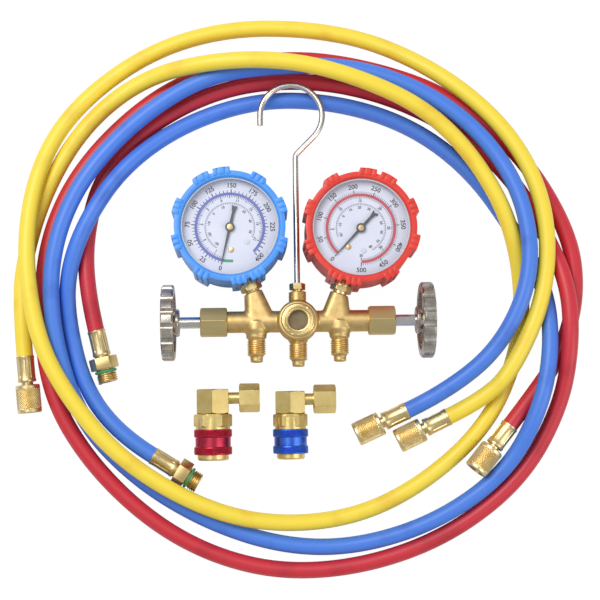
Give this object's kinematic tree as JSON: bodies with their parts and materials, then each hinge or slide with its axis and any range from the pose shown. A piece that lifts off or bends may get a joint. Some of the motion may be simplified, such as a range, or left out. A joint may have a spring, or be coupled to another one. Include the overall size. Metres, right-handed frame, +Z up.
{
  "type": "refrigerant manifold gauge",
  "caption": "Two-valve brass manifold with low and high side gauges, hanging hook, three coloured charging hoses and two quick couplers, lying on its back.",
  "frame": {"origin": "middle of the footprint of the manifold, its hook and the two couplers, on the table", "axes": "+Z up from the table and out of the dials, +Y towards the hook, +X towards the high side"},
  "size_m": [0.3487, 0.3426, 0.0456],
  "materials": {
    "brass": "cast and turned brass, lightly polished",
    "nickel": "nickel plated",
    "clear_window": "clear",
    "dial_white": "matt white print",
    "black_enamel": "black enamel",
    "boot_blue": "moulded rubber",
    "boot_red": "moulded rubber",
    "sleeve_blue": "anodised blue",
    "sleeve_red": "anodised red",
    "hose_blue": "smooth hose cover",
    "hose_red": "smooth hose cover",
    "hose_yellow": "smooth hose cover",
    "seal_green": "rubber ring"
  },
  "bodies": {
    "manifold": {"boot_high": "boot_red", "boot_low": "boot_blue", "bourdon_tube_high": "brass", "bourdon_tube_low": "brass", "coupler_body_high": "brass", "coupler_body_low": "brass", "coupler_elbow_high": "brass", "coupler_elbow_low": "brass", "coupler_pin_high": "brass", "coupler_pin_low": "brass", "dial_high": "dial_white", "dial_low": "dial_white", "fitting_seal_blue": "seal_green", "fitting_seal_red": "seal_green", "gauge_case_high": "black_enamel", "gauge_case_low": "black_enamel", "gauge_socket_high": "brass", "gauge_socket_low": "brass", "hook": "nickel", "hook_nut": "brass", "hose_blue": "hose_blue", "hose_ends_blue": "brass", "hose_ends_red": "brass", "hose_ends_yellow": "brass", "hose_red": "hose_red", "hose_yellow": "hose_yellow", "lens_high": "clear_window", "lens_low": "clear_window", "male_fitting_blue": "brass", "male_fitting_red": "brass", "manifold_body": "brass", "movement_frame_high": "brass", "movement_frame_low": "brass", "packing_nut_high": "brass", "packing_nut_low": "brass", "sight_glass": "clear_window", "sight_ring": "brass"},
    "disc_low": {"valve_disc_low": "brass"},
    "stem_low": {"valve_stem_low": "nickel", "handwheel_low": "nickel", "wheel_screw_low": "nickel"},
    "sector_low": {"sector_gear_low": "brass"},
    "needle_low": {"pinion_low": "brass", "pointer_low": "black_enamel"},
    "sleeve_low": {"coupler_sleeve_low": "sleeve_blue"},
    "swivel_low": {"coupler_nut_low": "brass"},
    "disc_high": {"valve_disc_high": "brass"},
    "stem_high": {"valve_stem_high": "nickel", "handwheel_high": "nickel", "wheel_screw_high": "nickel"},
    "sector_high": {"sector_gear_high": "brass"},
    "needle_high": {"pinion_high": "brass", "pointer_high": "black_enamel"},
    "sleeve_high": {"coupler_sleeve_high": "sleeve_red"},
    "swivel_high": {"coupler_nut_high": "brass"},
    "union_blue_a": {"hose_nut_blue_a": "brass"},
    "union_red_a": {"hose_nut_red_a": "brass"},
    "union_yellow_a": {"hose_nut_yellow_a": "brass"},
    "union_yellow_b": {"hose_nut_yellow_b": "brass"}
  },
  "joints": [
    {"name": "valve_travel_low", "type": "slide", "parent": "manifold", "child": "disc_low", "axis": [-1, 0, 0], "range_m": [0, 0.00382]},
    {"name": "valve_turn_low", "type": "hinge", "parent": "disc_low", "child": "stem_low", "pos_m": [-0.055, -0.0318, 0.0228], "axis": [-1, 0, 0], "range_deg": [0, 1080]},
    {"name": "sector_turn_low", "type": "hinge", "parent": "manifold", "child": "sector_low", "pos_m": [-0.0249, 0.01694, 0.01583], "axis": [0, 0.0524, 0.9986], "range_deg": [0, 50.5]},
    {"name": "pointer_turn_low", "type": "hinge", "parent": "manifold", "child": "needle_low", "pos_m": [-0.04, 0.02452, 0.01984], "axis": [0, -0.0524, -0.9986], "range_deg": [0, 303]},
    {"name": "sleeve_slide_low", "type": "slide", "parent": "manifold", "child": "sleeve_low", "axis": [0, 1, 0], "range_m": [0, 0.0012], "stiffness_N_per_m": 400},
    {"name": "coupler_nut_turn_low", "type": "hinge", "parent": "manifold", "child": "swivel_low", "pos_m": [0.0142, -0.07827, 0.0107], "axis": [1, 0, 0], "continuous": true},
    {"name": "valve_travel_high", "type": "slide", "parent": "manifold", "child": "disc_high", "axis": [1, 0, 0], "range_m": [0, 0.00382]},
    {"name": "valve_turn_high", "type": "hinge", "parent": "disc_high", "child": "stem_high", "pos_m": [0.055, -0.0318, 0.0228], "axis": [1, 0, 0], "range_deg": [0, 1080]},
    {"name": "sector_turn_high", "type": "hinge", "parent": "manifold", "child": "sector_high", "pos_m": [0.04587, 0.00782, 0.01631], "axis": [0, 0.0524, 0.9986], "range_deg": [0, 52.8]},
    {"name": "pointer_turn_high", "type": "hinge", "parent": "manifold", "child": "needle_high", "pos_m": [0.0385, 0.02312, 0.01992], "axis": [0, -0.0524, -0.9986], "range_deg": [0, 316.8]},
    {"name": "sleeve_slide_high", "type": "slide", "parent": "manifold", "child": "sleeve_high", "axis": [0, 1, 0], "range_m": [0, 0.0012], "stiffness_N_per_m": 400},
    {"name": "coupler_nut_turn_high", "type": "hinge", "parent": "manifold", "child": "swivel_high", "pos_m": [-0.03075, -0.07695, 0.0115], "axis": [1, 0, 0], "continuous": true},
    {"name": "union_blue_a_turn", "type": "hinge", "parent": "manifold", "child": "union_blue_a", "pos_m": [0.04248, -0.09678, 0.00842], "axis": [-0.9081, -0.4162, -0.0454], "continuous": true},
    {"name": "union_red_a_turn", "type": "hinge", "parent": "manifold", "child": "union_red_a", "pos_m": [0.11153, -0.1159, 0.01392], "axis": [-0.6358, -0.7683, 0.0742], "continuous": true},
    {"name": "union_yellow_a_turn", "type": "hinge", "parent": "manifold", "child": "union_yellow_a", "pos_m": [0.06764, -0.10106, 0.00848], "axis": [-0.9017, -0.4271, -0.0664], "continuous": true},
    {"name": "union_yellow_b_turn", "type": "hinge", "parent": "manifold", "child": "union_yellow_b", "pos_m": [-0.16276, -0.0758, 0.0075], "axis": [0.0866, -0.9962, 0], "continuous": true}
  ],
  "couplings": [
    {"joint": "valve_travel_low", "follows": "valve_turn_low", "m_per_rad": 0.00020213},
    {"joint": "pointer_turn_low", "follows": "sector_turn_low", "ratio": 6},
    {"joint": "valve_travel_high", "follows": "valve_turn_high", "m_per_rad": 0.00020213},
    {"joint": "pointer_turn_high", "follows": "sector_turn_high", "ratio": 6}
  ]
}
